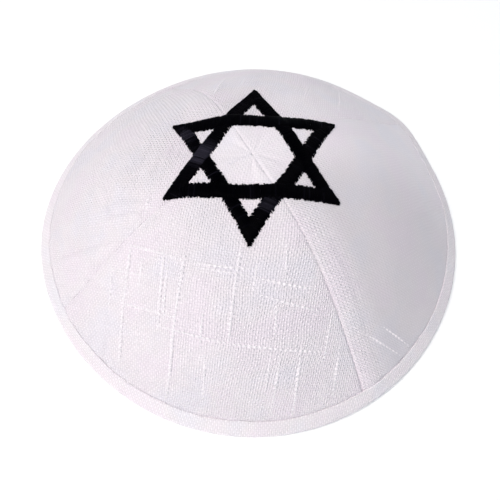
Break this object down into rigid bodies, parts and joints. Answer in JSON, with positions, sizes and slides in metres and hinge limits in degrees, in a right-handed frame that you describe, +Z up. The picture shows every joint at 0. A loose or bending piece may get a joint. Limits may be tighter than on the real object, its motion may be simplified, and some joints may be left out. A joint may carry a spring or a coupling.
{
  "type": "kippah skullcap",
  "caption": "Round low-domed cloth skullcap of sewn gores with a folded binding round its rim and a raised embroidered six-pointed star on its crown.",
  "frame": {"origin": "middle of the rim's box, on the surface the rim rests on", "axes": "+Z up through the crown, -Y towards the viewer of the star's lowest tip, +X to the right"},
  "size_m": [0.1678, 0.1726, 0.0423],
  "materials": {
    "linen": "white linen cloth with an uneven plain weave",
    "binding": "white linen tape, folded over the edge",
    "thread": "black satin-stitch embroidery thread with a soft sheen"
  },
  "bodies": {
    "root": {"panel_front": "linen", "panel_left": "linen", "panel_back": "linen", "panel_right": "linen", "rim_band": "binding", "star_embroidery": "thread"}
  },
  "joints": []
}
